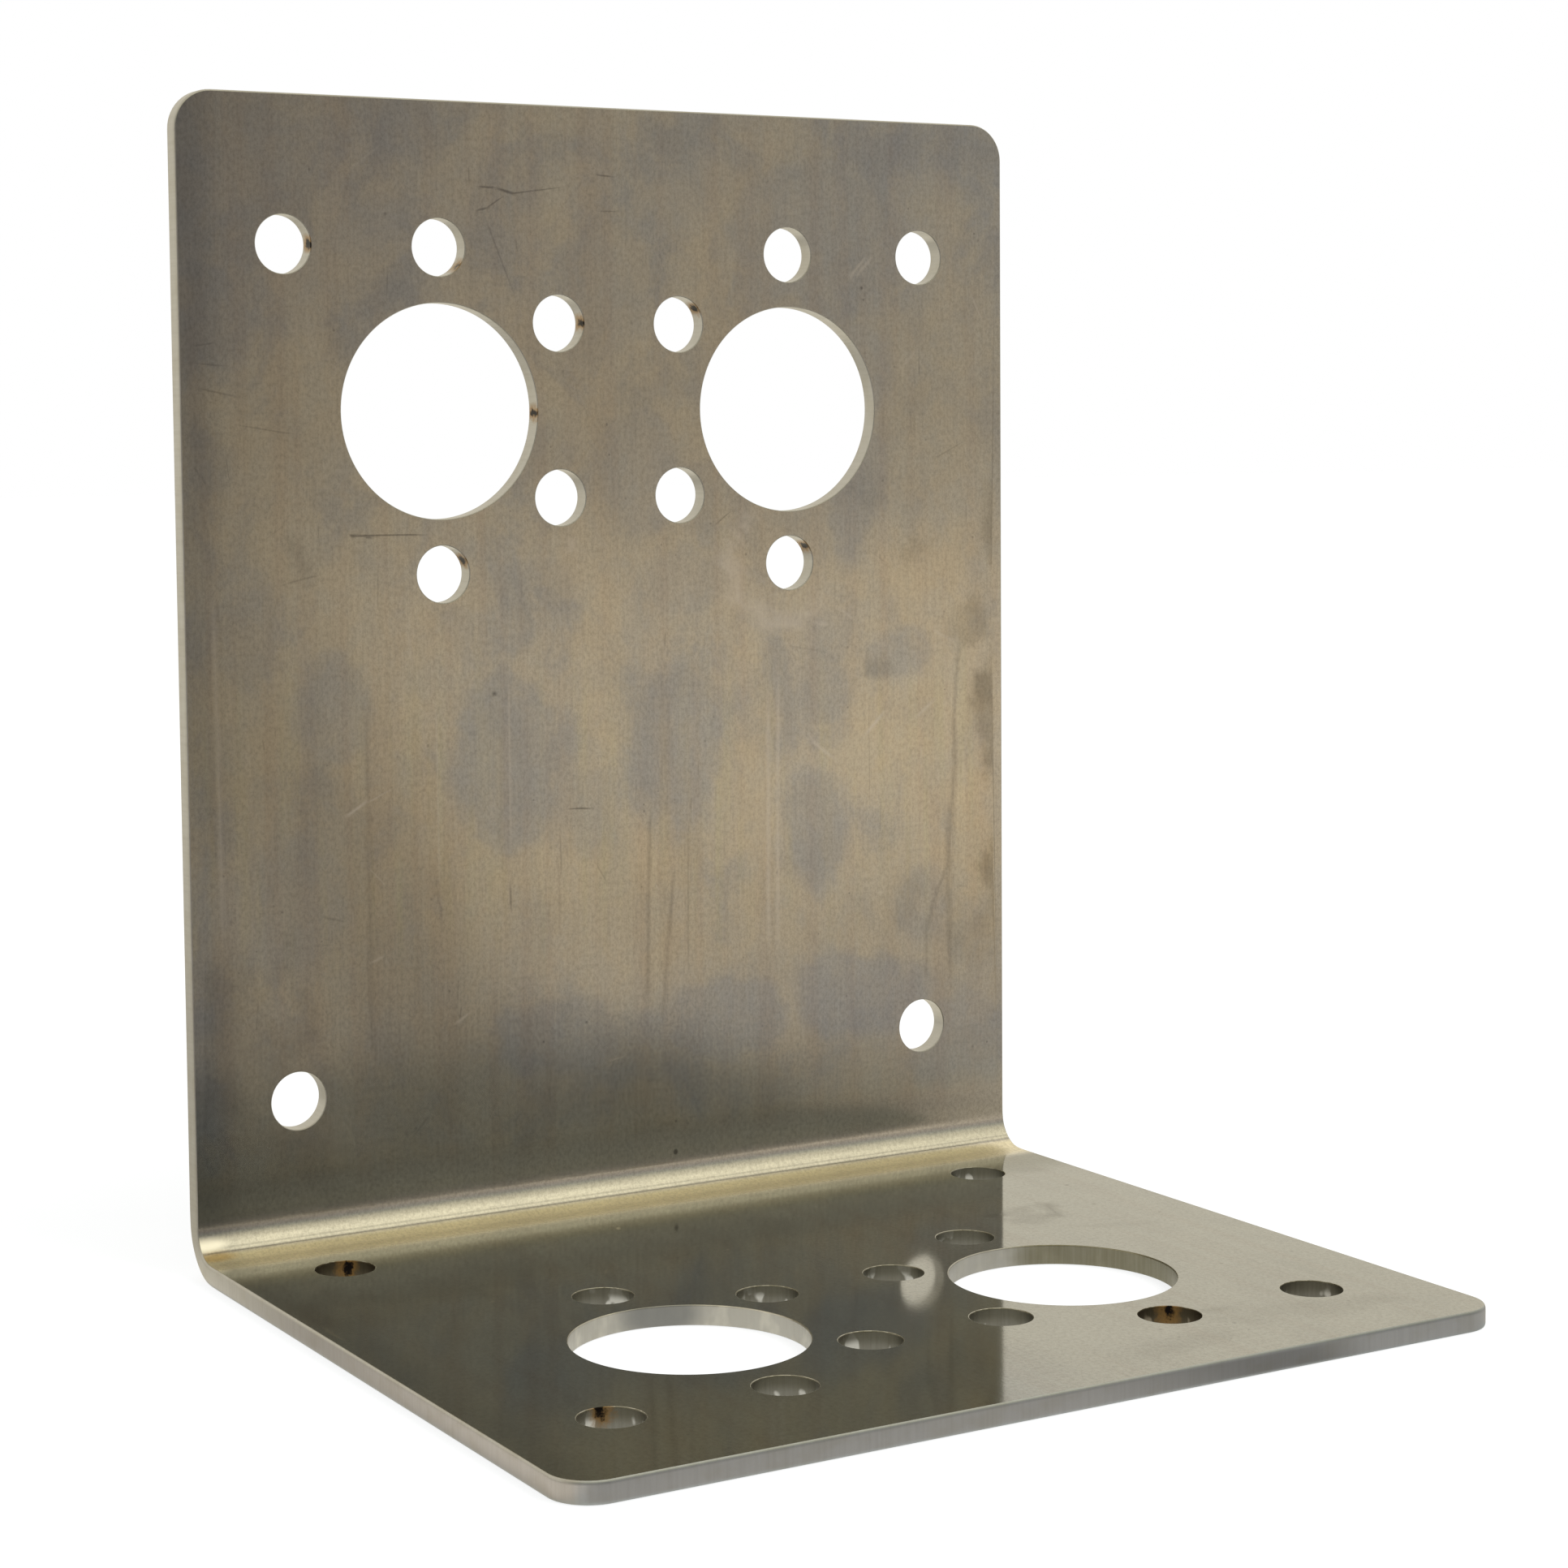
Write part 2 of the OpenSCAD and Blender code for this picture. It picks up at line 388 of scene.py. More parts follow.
def lines_at(x, s, place_s, lines):
    """Strength of lines at blank points: full on the line, 0 from its half width on."""
    total = np.zeros_like(x)
    for line in lines:
        start, ahead, length, half, strength = line_parts(line, place_s)
        along = (x - start[0]) * ahead[0] + (s - start[1]) * ahead[1]
        off = np.abs((s - start[1]) * ahead[0] - (x - start[0]) * ahead[1])
        ends = smooth(along / length * 5.0 + 0.2) * smooth((1.0 - along / length) * 5.0 + 0.2)
        value = strength * np.clip(1.0 - off / half, 0.0, 1.0) * ends
        total = np.maximum(total, np.where((along < -1e-4) | (along > length + 1e-4), 0.0, value))
    return total


def specks_at(x, s, place_s, specks):
    """Strength of small round specks at blank points."""
    total = np.zeros_like(x)
    for cx, cz, r, strength in specks:
        away = np.hypot(x - cx, s - place_s(cz)) / r
        total = np.maximum(total, strength * np.clip(1.0 - away, 0.0, 1.0))
    return total


def mark_points(place_s, lines, specks):
    """Points and edges that let a face carry its lines and specks: three rows along each line."""
    points, edges, first = [], [], 0
    for line in lines:
        start, ahead, length, half, _ = line_parts(line, place_s)
        across = np.array([-ahead[1], ahead[0]])
        n = max(4, int(length / 1.6) + 1)
        run = start + np.linspace(0.0, 1.0, n)[:, None] * length * ahead
        for side in (-1.0, 0.0, 1.0):
            points.append(run + side * half * across)
            edges += [(first + k, first + k + 1) for k in range(n - 1)]
            first += n
    for cx, cz, r, _ in specks:
        a = np.arange(6) * math.pi / 3
        ring = np.stack([cx + r * np.cos(a), place_s(cz) + r * np.sin(a)], axis=-1)
        points += [ring, np.array([[cx, place_s(cz)]])]
        first += 7
    return np.concatenate(points), edges


def clear(points, holes, margin):
    """True for the points of a face that keep this margin to every hole and to the border."""
    x, s = points.T
    keep = np.abs(x) < RIM_X - margin
    for hx, hs, r in holes:
        keep &= np.hypot(x - hx, s - hs) > r + HOLE_INSET + HOLE_FLAT + margin
    for end, way in ((TOP_S, 1.0), (FRONT_S, -1.0)):
        dx = np.abs(x) - (EDGE_HALF_W - CORNER_R)
        ds = way * (s - end) + CORNER_R
        corner = np.hypot(np.maximum(dx, 0.0), ds)
        keep &= ~((ds > 0) & (corner > CORNER_R - EDGE_INSET - EDGE_FLAT - margin))
    return keep & ((s > STRIP_S[-1] + margin) | (s < STRIP_S[0] - margin))


def random_marks(seed, count, place_s, low, high, holes, upright_share):
    """Faint short scratches and small specks, spread over a face at random."""
    rng = np.random.default_rng(seed)
    lines, specks = [], []
    for _ in range(count):
        x, z = rng.uniform(-48.0, 48.0), rng.uniform(low, high)
        length, half = rng.uniform(0.8, 5.0), rng.uniform(0.07, 0.15)
        steep = rng.random() < upright_share
        angle = math.pi / 2 + rng.normal(0.0, 0.05) if steep else rng.uniform(0.0, math.pi)
        line = (x, z, x + length * math.cos(angle), z + length * math.sin(angle), half,
                rng.uniform(0.12, 0.4))
        ends = np.array([[line[0], place_s(line[1])], [line[2], place_s(line[3])]])
        middle = ends.mean(axis=0, keepdims=True)
        if clear(np.concatenate([ends, middle]), holes, 1.4).all():
            lines.append(line)
        speck = (rng.uniform(-48.0, 48.0), rng.uniform(low, high), rng.uniform(0.1, 0.26),
                 rng.uniform(0.3, 0.9))
        if clear(np.array([[speck[0], place_s(speck[1])]]), holes, 0.6).all():
            specks.append(speck)
    return lines, specks


# Fainter marks at random on each face; the last two faces are the upright's back and the lower
# leg's underside.
more_lines, more_specks = random_marks(11, 130, upright_s, 9.0, 118.0, UPRIGHT_HOLES, 0.6)
DARK_LINES += more_lines[::2]
PALE_LINES += more_lines[1::2]
SPECKS += more_specks
lower_dark, lower_specks = random_marks(23, 110, lower_s, -40.0, 30.0, LOWER_HOLES, 0.2)
lower_dark += [
    (40, -7.7, 40.6, -13, 0.1, 0.6), (40.6, -14.6, 40.2, -19, 0.1, 0.5),
    (40.1, -20, 40, -22.8, 0.1, 0.6), (29.6, 14.4, 36.4, 13.2, 0.16, 0.5),
    (36.4, 13.2, 35, 8.6, 0.2, 0.6), (33.6, 10.6, 34.8, 8.4, 0.16, 0.5),
    (44.5, 22, 41, 25.5, 0.14, 0.5), (36.5, 5, 41.5, 3.6, 0.12, 0.5),
]
lower_specks += [
    (43.6, 19, 0.4, 0.9), (41, 10.5, 0.35, 0.8), (36.2, 21.5, 0.4, 0.8), (44.8, 4, 0.3, 0.9),
    (38.6, -33, 0.3, 0.8), (24.6, -33.2, 0.3, 0.8), (46, -16, 0.3, 0.8), (33, 19, 0.3, 0.7),
]
outer_lines, outer_specks = random_marks(37, 120, upright_s, 9.0, 118.0, UPRIGHT_HOLES, 0.5)
outer_lines += [
    (-12, 61, 9, 58.4, 0.14, 0.6), (-6, 47, -4.2, 31, 0.2, 0.45), (30, 60, 41, 66, 0.12, 0.5),
    (-44, 44, -36, 38, 0.16, 0.5), (33, 40, 33.4, 26, 0.26, 0.4),
    (-28, 113.6, -12, 112.8, 0.12, 0.6),
]
under_lines, under_specks = random_marks(41, 80, lower_s, -40.0, 30.0, LOWER_HOLES, 0.2)
under_lines += [
    (-3, 24, 4, -30, 0.16, 0.5), (34, 6, 46, 2, 0.14, 0.6),
]
OUTER_STAINS = [
    (8, 50, 7, 9, 0.5, 20), (-25, 52, 6, 10, 0.5, -10), (36, 46, 6, 8, 0.6), (-38, 34, 7, 6, 0.5),
    (14, 26, 9, 5, 0.6), (0, 86, 5, 9, 0.4), (39, 112, 8, 5, 0.4), (-40, 76, 5, 8, 0.4, 15),
]


def face_grid(holes, s_low, s_high, step):
    """Even grid of points over a leg's face, clear of its holes and border."""
    gx, gs = np.meshgrid(np.arange(-48.5, 48.6, step), np.arange(s_low, s_high, step))
    grid = np.column_stack([gx.ravel(), gs.ravel()])
    return grid[clear(grid, holes, 0.3)]


def leg_face(border, holes, t, extra, extra_edges):
    """Flat face of a leg: triangles between its border and its holes, all at one t.

    The extra points and edges within it carry its marks.
    """
    loops = [border] + [hole_rings[x, s][:, 0 if t > 0 else -1, :2] for x, s, _ in holes]
    sizes = [len(loop) for loop in loops]
    firsts = np.concatenate([[0], np.cumsum(sizes)])
    flat = np.concatenate(loops)
    edges = [(a + k, a + (k + 1) % n) for a, n in zip(firsts, sizes) for k in range(n)]
    edges += [(a + len(flat), b + len(flat)) for a, b in extra_edges]
    flat = np.concatenate([flat, extra])
    verts, _, tris, _, _, _ = delaunay_2d_cdt(
        [Vector(p) for p in flat], edges, [list(range(sizes[0]))], 1, 1e-7)
    vert_xy = np.array([tuple(v) for v in verts])
    tris = np.array([tuple(f) for f in tris])
    keep = np.ones(len(tris), bool)
    for loop, (x, s, _) in zip(loops[1:], holes):
        ring_r = math.hypot(loop[0, 0] - x, loop[0, 1] - s)
        on_ring = np.abs(np.hypot(vert_xy[:, 0] - x, vert_xy[:, 1] - s) - ring_r) < 0.002
        keep &= ~on_ring[tris].all(axis=1)
    tris = tris[keep]
    area = np.cross(vert_xy[tris[:, 1]] - vert_xy[tris[:, 0]],
                    vert_xy[tris[:, 2]] - vert_xy[tris[:, 0]])
    tris[area < 0] = tris[area < 0][:, ::-1]
    if t == 0:
        tris = tris[:, ::-1]
    points = np.column_stack([vert_xy, np.full(len(verts), t)])
    normals = np.tile([0.0, 0.0, 1.0 if t > 0 else -1.0], (len(verts), 1))
    return points, normals, tris, np.zeros(len(tris), int)


# The legs' flat faces, each with its marks (lines, specks and the step of its even grid). The
# outline starts at the right front corner, so the strip's rows on the right edge follow its first
# arc and those on the left edge follow its third.
for face_t, ring, upright_marks, lower_marks in (
    (SHEET_T, 0, (DARK_LINES + PALE_LINES, SPECKS, 1.0),
     (LOWER_LINES + lower_dark, lower_specks, 1.2)),
    (0.0, -1, (outer_lines, outer_specks, 1.6), (under_lines, under_specks, 3.0)),
):
    rim_loop = edge_grid[:, ring, :2]
    inner_x = strip_x[1:-1]
    upright_border = np.concatenate([
        rim_loop[ARC + ROWS - 1:3 * ARC + ROWS + 1],
        np.column_stack([inner_x, np.full(len(inner_x), STRIP_S[-1])]),
    ])
    lower_border = np.concatenate([
        rim_loop[3 * ARC + 2 * ROWS - 1:], rim_loop[:ARC + 1],
        np.column_stack([inner_x[::-1], np.full(len(inner_x), STRIP_S[0])]),
    ])
    for border, holes, place_s, s_low, s_high, (lines, specks, step) in (
        (upright_border, UPRIGHT_HOLES, upright_s, STRIP_S[-1] + 0.6, TOP_S - 1.2, upright_marks),
        (lower_border, LOWER_HOLES, lower_s, FRONT_S + 1.2, STRIP_S[0] - 0.6, lower_marks),
    ):
        mark_xs, mark_edges = mark_points(place_s, lines, specks)
        grid = face_grid(holes, s_low, s_high, step)
        parts.append(leg_face(border, holes, face_t, np.concatenate([mark_xs, grid]), mark_edges))


def join(parts):
    """Puts the parts together; points that fall together become one."""
    firsts = np.concatenate([[0], np.cumsum([len(part[0]) for part in parts])])
    points = np.concatenate([part[0] for part in parts])
    normals = np.concatenate([part[1] for part in parts])
    _, index, inverse = np.unique(np.round(points / 2e-5).astype(np.int64), axis=0,
                                  return_index=True, return_inverse=True)
    inverse = inverse.ravel()
    faces = [inverse[part[2] + first] for part, first in zip(parts, firsts)]
    return points[index], normals[index], faces, np.concatenate([part[3] for part in parts])


flat_points, flat_normals, face_sets, face_finish = join(parts)
folded = bend(*flat_points.T) * MM
a = turn_at(flat_points[:, 1])
nx, ns, nt = flat_normals.T
folded_normals = np.stack([nx, ns * np.cos(a) - nt * np.sin(a),
                           ns * np.sin(a) + nt * np.cos(a)], axis=-1)

sheet_mesh = bpy.data.meshes.new("bracket_sheet")
sheet_mesh.from_pydata(folded.tolist(), [], [f.tolist() for faces in face_sets for f in faces])
sheet_mesh.polygons.foreach_set("material_index", face_finish.astype(np.int32))
sheet_mesh.polygons.foreach_set("use_smooth", np.ones(len(sheet_mesh.polygons), bool))

# How strong each mark is at each point. Stains are cool, tan and dark; wear is dark lines and
# specks, pale lines, and a slow drift that breaks up the dark stains.
px, ps, pt = flat_points.T
on_inner, on_outer, past_fold, before_fold = pt > 1.9, pt < 0.1, ps > 5.0, ps < 2.0
on_upright, on_lower = on_inner & past_fold, on_inner & before_fold
on_back, on_under = on_outer & past_fold, on_outer & before_fold
stains, wear = np.zeros((len(px), 3)), np.zeros((len(px), 3))
for column, here, place_s, ovals, soft, wander in (
    (0, on_upright, upright_s, COOL_STAINS, 0.2, 0.16),
    (1, on_upright, upright_s, TAN_STAINS, 0.55, 0.5),
    (2, on_upright, upright_s, DARK_STAINS, 0.4, 0.5),
    (2, on_lower, lower_s, LOWER_STAINS, 0.4, 0.3),
    (0, on_back, upright_s, OUTER_STAINS, 0.4, 0.4),
):
    stains[:, column] += stains_at(px, ps, place_s, ovals, soft, wander) * here
for here, place_s, dark_lines, share, specks, pale_lines in (
    (on_upright, upright_s, DARK_LINES, 1.0, SPECKS, PALE_LINES),
    (on_lower, lower_s, lower_dark, 0.6, lower_specks, LOWER_LINES),
    (on_back, upright_s, outer_lines[::2], 1.0, outer_specks, outer_lines[1::2]),
    (on_under, lower_s, under_lines, 1.0, under_specks, []),
):
    wear[:, 0] += np.maximum(lines_at(px, ps, place_s, dark_lines) * share,
                             specks_at(px, ps, place_s, specks)) * here
    wear[:, 1] += lines_at(px, ps, place_s, pale_lines) * here
wear[:, 2] = waves(px, ps, 14.0, 31) * 0.5 + 0.5

# The pale ring rubbed round the screw hole under the right large hole: an oval, 0.22 wide on its
# own scale, that shows on its lower left.
RING_X, RING_Z, RING_HALF_W, RING_HALF_H = 20.5, 71.0, 7.0, 6.8
ring_x, ring_s = px - RING_X, ps - upright_s(RING_Z)
ring_off = np.abs(np.hypot(ring_x / RING_HALF_W, ring_s / RING_HALF_H)
                  + 0.1 * waves(px, ps, 5.0, 8) - 1.0)
ring_side = smooth((ring_x * -0.75 + ring_s * -0.66 + 3.0) / 6.0)
rubbed = 0.5 * (1.0 - smooth(ring_off / 0.22)) * ring_side * on_upright
wear[:, 1] = np.maximum(wear[:, 1], rubbed)

# The walls of the lower leg's holes by number: 1 in a screw hole, more in the dim one and the two
# scorched ones, less in the large holes, which are cleaner; in those the number also sets how much
# painted pale reflection the wall takes.
HOLE_WALLS = {0: 0.4, 7: 0.15, 12: 1.4, 6: 2.0, 8: 2.0}
hole_walls = np.zeros(len(px))
for number, (hx, hs, r) in enumerate(LOWER_HOLES):
    hole_walls[np.hypot(px - hx, ps - hs) < r + 0.05] = HOLE_WALLS.get(number, 1.0)
for name, kind, key, values in (
    ("blank", "FLOAT_VECTOR", "vector", flat_points), ("hole", "FLOAT", "value", hole_walls),
    ("stains", "FLOAT_VECTOR", "vector", stains), ("wear", "FLOAT_VECTOR", "vector", wear),
):
    layer = sheet_mesh.attributes.new(name, kind, "POINT")
    layer.data.foreach_set(key, values.astype(np.float32).ravel())
sheet_mesh.update()
sheet_mesh.normals_split_custom_set_from_vertices(folded_normals.tolist())
bracket = bpy.data.objects.new("bracket_sheet", sheet_mesh)
bpy.context.scene.collection.objects.link(bracket)
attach(bracket, "root")
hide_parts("bracket")


class Wire:
    """A socket in a formula: + - * **, and | for the larger, with other wires or numbers."""

    def __init__(self, tree, node=None, socket=None):
        self.tree, self.at, self.socket = tree, node, socket

    def node(self, kind, settings=None, sockets=None, out=0):
        """Adds a node: its settings first, then values or links for its sockets."""
        made = self.tree.nodes.new(kind)
        for name, value in (settings or {}).items():
            if name == "stops":
                ramp = made.color_ramp
                ramp.interpolation = "B_SPLINE"
                for place, _ in value[1:-1]:
                    ramp.elements.new(place)
                for element, (place, colour) in zip(ramp.elements, value):
                    element.color = (*colour, 1.0)
            else:
                setattr(made, name, value)
        for name, value in (sockets or {}).items():
            socket = made.inputs[name]
            if isinstance(value, Wire):
                self.tree.links.new(value.socket, socket)
            else:
                socket.default_value = value
        return Wire(self.tree, made, made.outputs[out] if made.outputs else None)

    def out(self, name):
        """Another output of the same node."""
        return Wire(self.tree, self.at, self.at.outputs[name])

    def attribute(self, name, out="Vector"):
        """A named attribute of the mesh."""
        return self.node("ShaderNodeAttribute", {"attribute_name": name}, out=out)

    def parts(self):
        """The X, Y and Z of this vector."""
        split = self.node("ShaderNodeSeparateXYZ", {}, {0: self})
        return split, split.out("Y"), split.out("Z")

    def math(self, operation, *values):
        """A Math node on the given wires and numbers."""
        return self.node("ShaderNodeMath", {"operation": operation}, dict(enumerate(values)))

    def __add__(self, other): return self.math("ADD", self, other)
    def __radd__(self, other): return self.math("ADD", other, self)
    def __sub__(self, other): return self.math("SUBTRACT", self, other)
    def __rsub__(self, other): return self.math("SUBTRACT", other, self)
    def __mul__(self, other): return self.math("MULTIPLY", self, other)
    def __rmul__(self, other): return self.math("MULTIPLY", other, self)
    def __pow__(self, other): return self.math("POWER", self, other)
    def __or__(self, other): return self.math("MAXIMUM", self, other)

    def absolute(self):
        """This wire without its sign."""
        return self.math("ABSOLUTE", self)

    def step(self, low, high, start=0.0, end=1.0):
        """Smooth step from start to end as the wire goes from low to high."""
        return self.node("ShaderNodeMapRange", {"interpolation_type": "SMOOTHSTEP"},
                         {0: self, 1: low, 2: high, 3: start, 4: end})

    def fall(self, low, high, peak=1.0):
        """Smooth step from the peak down to 0 as the wire goes from low to high."""
        return self.step(low, high, peak, 0.0)

    def noise(self, scale, detail=2.0, roughness=0.5, distortion=0.0):
        """Noise of this place, about 0.5 in the middle; scale is in waves per millimetre."""
        return self.node("ShaderNodeTexNoise", {"noise_dimensions": "3D"},
                         {"Vector": self, "Scale": scale, "Detail": detail,
                          "Roughness": roughness, "Distortion": distortion})

    def stretched(self, x, s, t, shift=(0.0, 0.0, 0.0)):
        """This place vector scaled on each axis, and moved."""
        return self.node("ShaderNodeMapping", {"vector_type": "POINT"},
                         {"Vector": self, "Scale": (x, s, t), "Location": shift})

    def vector(self, operation, *values, out="Vector"):
        """A Vector Math node on the given wires and vectors."""
        sockets = dict(enumerate(values))
        return self.node("ShaderNodeVectorMath", {"operation": operation}, sockets, out)

    def off(self, middle, radii):
        """Distance of this place from an ellipsoid's middle: 1 on the ellipsoid itself."""
        scale = [1.0 / r for r in radii]
        shift = [-m / r for m, r in zip(middle, radii)]
        near = self.vector("MULTIPLY_ADD", self, scale, shift)
        return near.vector("LENGTH", near, out="Value")

    def dimmed(self, colour, amount):
        """A colour, given or wired, times a number that varies."""
        sockets = {0: colour, "Scale": amount}
        return self.node("ShaderNodeVectorMath", {"operation": "SCALE"}, sockets)

    def tint(self, mask, colour):
        """Where the mask is 1, this colour is multiplied by the given one."""
        return self.node("ShaderNodeMix", {"data_type": "RGBA", "blend_type": "MULTIPLY"},
                         {0: mask, 6: self, 7: (*colour, 1.0)}, out=2)

    def cover(self, mask, colour):
        """Where the mask is 1, this colour gives way to the given one."""
        colour = colour if isinstance(colour, Wire) else (*colour, 1.0)
        return self.node("ShaderNodeMix", {"data_type": "RGBA", "blend_type": "MIX"},
                         {0: mask, 6: self, 7: colour}, out=2)


def new_material(name):
    """An empty material and a wire to build it from."""
    material = bpy.data.materials.new(name)
    material.use_nodes = True
    material.node_tree.nodes.clear()
    return material, Wire(material.node_tree)


# Mill finish of the sheet's two faces: a fine grain along the sheet, soft cloudy stains where
# hands and oil have dulled it, and the scratches and specks that handling left; on and beside the
# fold, at the left edge and in front, some tints are painted highlight, reflection and shade. s is
# 0 where the fold starts, less on the lower leg and more up the upright.
WARM, COOL = (0.62, 0.562, 0.437), (0.49, 0.478, 0.437)
TAN, GOLDEN = (0.665, 0.583, 0.425), (0.62, 0.575, 0.40)
BURNISHED_HIGHLIGHT, PRESSED_HIGHLIGHT, MATTE_REFLECTION = (0.79, 0.735, 0.585), (0.83, 0.80, 0.73), (0.98, 0.90, 0.69)
PALE_SCRATCH, END_GLINT = (0.76, 0.71, 0.62), (0.95, 0.92, 0.86)
material, start = new_material("stainless_mill_finish")
place = start.attribute("blank")
x, s, t = place.parts()

ragged = place.stretched(0.26, 0.19, 1.0).noise(1.0, 3.0, 0.65) - 0.5
clouds = place.stretched(0.035, 0.026, 0.5).noise(1.0, 3.0, 0.6)
mottle = place.stretched(0.13, 0.10, 0.5, (3.1, 7.7, 0.0)).noise(1.0, 4.0, 0.65, 0.5)
streaks = place.stretched(0.42, 0.014, 0.5, (1.3, 0.0, 0.0)).noise(1.0, 2.0, 0.6)
grain = place.stretched(3.4, 0.14, 1.0).noise(1.0, 2.0, 0.7)
speckle = place.stretched(2.6, 1.8, 1.0, (0.0, 5.0, 0.0)).noise(1.0, 3.0, 0.85)
gold = place.stretched(0.55, 0.03, 0.5, (9.0, 0.0, 0.0)).noise(1.0, 2.0, 0.6)

inner = t.step(0.9, 1.1)
upper = s.step(FOLD_END, FOLD_END + 4.0)
top = s.step(upright_s(82.0), upright_s(118.0))
left = x.fall(-48.6, -44.0)
cool, tan, stain = start.attribute("stains").parts()
dark, pale, drift = start.attribute("wear").parts()
film = clouds.step(0.38, 0.66) * 0.5 + mottle.step(0.40, 0.66) * 0.45
film = (film + top * 0.4 + left * 0.3).step(0.1, 1.25) | cool * mottle.step(0.1, 0.6, 0.5, 1.0)
film = film | (1.0 - upper) * 0.9       # how far the metal has gone from warm to cool
golden = gold.step(0.45, 0.72) * s.step(24.0, 40.0) * s.fall(50.0, 70.0)
speck = place.off((5.9, 7.6, 2.0), (0.32, 0.36, 4.0)).fall(0.6, 1.1, 0.9)
glint = place.off((-49.0, FOLD_LENGTH * 0.62, 2.0), (2.4, 1.1, 4.0)).fall(0.4, 1.3)
rust = place.off((-48.6, FOLD_LENGTH * 0.3, 2.0), (2.4, 1.2, 4.0)).fall(0.3, 1.3, 0.8)

colour = start.node("ShaderNodeMix", {"data_type": "RGBA"}, {
    0: film, 6: (*WARM, 1.0), 7: (*COOL, 1.0)}, out=2)
colour = colour.cover(tan * (1.0 - cool * 0.85), TAN)
colour = colour.tint(s.fall(-8.0, 0.0), (0.91, 0.955, 1.035))
colour = colour.cover(golden * (0.55 - cool * 0.35), GOLDEN)
colour = colour.tint(streaks.step(0.42, 0.7) * 0.6, (0.93, 0.885, 0.87))

# The fold: burnished by the die, pressed smooth on its lower side, with the punch's two lines. The
# pale burnished and pressed colours are also a painted highlight, the matte band a painted
# reflection, and the lower leg beside the fold is painted darker as shade.
pressed_highlight = s.step(-3.0, -0.6) * s.fall(FOLD_LENGTH - 1.8, FOLD_LENGTH)
burnished_highlight = s.step(-3.0, -0.6) * s.fall(FOLD_LENGTH + 0.7, FOLD_LENGTH + 4.4, 0.6)
colour = colour.cover(burnished_highlight * (0.6 + streaks * 0.5), BURNISHED_HIGHLIGHT)
colour = colour.cover(pressed_highlight, PRESSED_HIGHLIGHT)
# A bright matte band low on the fold: rougher there, and its pale colour is a painted reflection.
matte_reflection = s.step(-3.4, -0.8) * s.fall(FOLD_LENGTH - 4.6, FOLD_LENGTH - 3.6)
colour = colour.cover(matte_reflection * 0.9, MATTE_REFLECTION)
# Painted shade: the lower leg just before the fold is darker.
shade_beside_fold = s.step(-12.0, -6.0) * s.fall(-4.0, -2.0)
colour = colour.tint(shade_beside_fold, (0.68, 0.68, 0.64))
upper_line, lower_line = s - (FOLD_LENGTH - 3.15), s - (FOLD_LENGTH - 3.8)
punch = upper_line.absolute().fall(0.06, 0.22, 0.6) | lower_line.absolute().fall(0.08, 0.34)
colour = colour.tint(punch, (0.66, 0.66, 0.68))

# Slow changes of tone: each leg is a little duller or bluer towards one end or side. The lower
# leg's front left and the inner faces' left edge are painted darker, as shade.
front_left_shade = s.fall(-45.0, -12.0) * x.fall(-8.0, 6.0) * inner
colour = colour.tint(front_left_shade, (0.84, 0.865, 0.93))
colour = colour.tint(mottle.step(0.35, 0.75) * 0.8, (0.90, 0.90, 0.91))
fine = grain.step(0.3, 0.75) * (0.1 + upper * 0.38 + pressed_highlight * 0.3)
colour = colour.tint(fine, (0.84, 0.845, 0.85))
colour = colour.tint(speckle.step(0.36, 0.72) * (1.2 - upper * 0.2), (0.78, 0.775, 0.77))
colour = colour.tint(left * inner, (0.80, 0.81, 0.83))
near_fold = upper * s.fall(10.0, 40.0)
off_fold = s.step(FOLD_LENGTH + 2.0, FOLD_LENGTH + 7.0)
colour = colour.tint(near_fold * off_fold * inner, (0.96, 1.0, 1.10))
colour = colour.tint(top * inner, (0.98, 0.97, 0.975))
colour = colour.tint(top * x.step(-30.0, -5.0) * inner, (1.15, 1.155, 1.12))
high_right = x.step(8.0, 38.0) * s.step(upright_s(62.0), upright_s(84.0))
colour = colour.tint(high_right * inner, (0.93, 0.965, 1.03))
bluish = ragged.step(-0.1, 0.12) * upper * inner
colour = colour.tint(bluish, (0.975, 0.995, 1.02))
colour = colour.tint(upper - bluish, (1.005, 1.0, 0.985))

# Stains, scratches and specks, and the fold's left end: a painted glint above, rusty below.
colour = colour.tint(stain * (0.5 + drift), (0.66, 0.65, 0.64))
colour = colour.tint(dark | speck, (0.40, 0.39, 0.40))
colour = colour.cover(pale * 0.8, PALE_SCRATCH)
colour = colour.cover(glint, END_GLINT)
colour = colour.tint(rust, (1.0, 0.80, 0.50))
low_right = s.fall(FOLD_LENGTH + 5.0, FOLD_LENGTH + 15.0) * x.step(16.0, 34.0)
roughness = 0.042 + upper * 0.08 + (clouds + grain + speckle) * 0.016 + cool * 0.03 \
    + pale * 0.1 + stain * 0.06 + near_fold * inner * 0.05 + matte_reflection * 0.2 \
    + low_right * inner * upper * 0.24 + burnished_highlight * 0.13
height = (grain * 0.6 + speckle * 0.7) * (1.0 - pressed_highlight * 0.65)
bump = start.node("ShaderNodeBump", {}, {"Strength": 0.35, "Distance": 0.000004, "Height": height})
shader = start.node("ShaderNodeBsdfPrincipled", {}, {
    "Base Color": colour, "Metallic": 1.0, "Roughness": roughness,
    "Specular Tint": (0.86, 0.86, 0.85, 1.0), "Normal": bump})
start.node("ShaderNodeOutputMaterial", {}, {"Surface": shader})
sheet_mesh.materials.append(material)

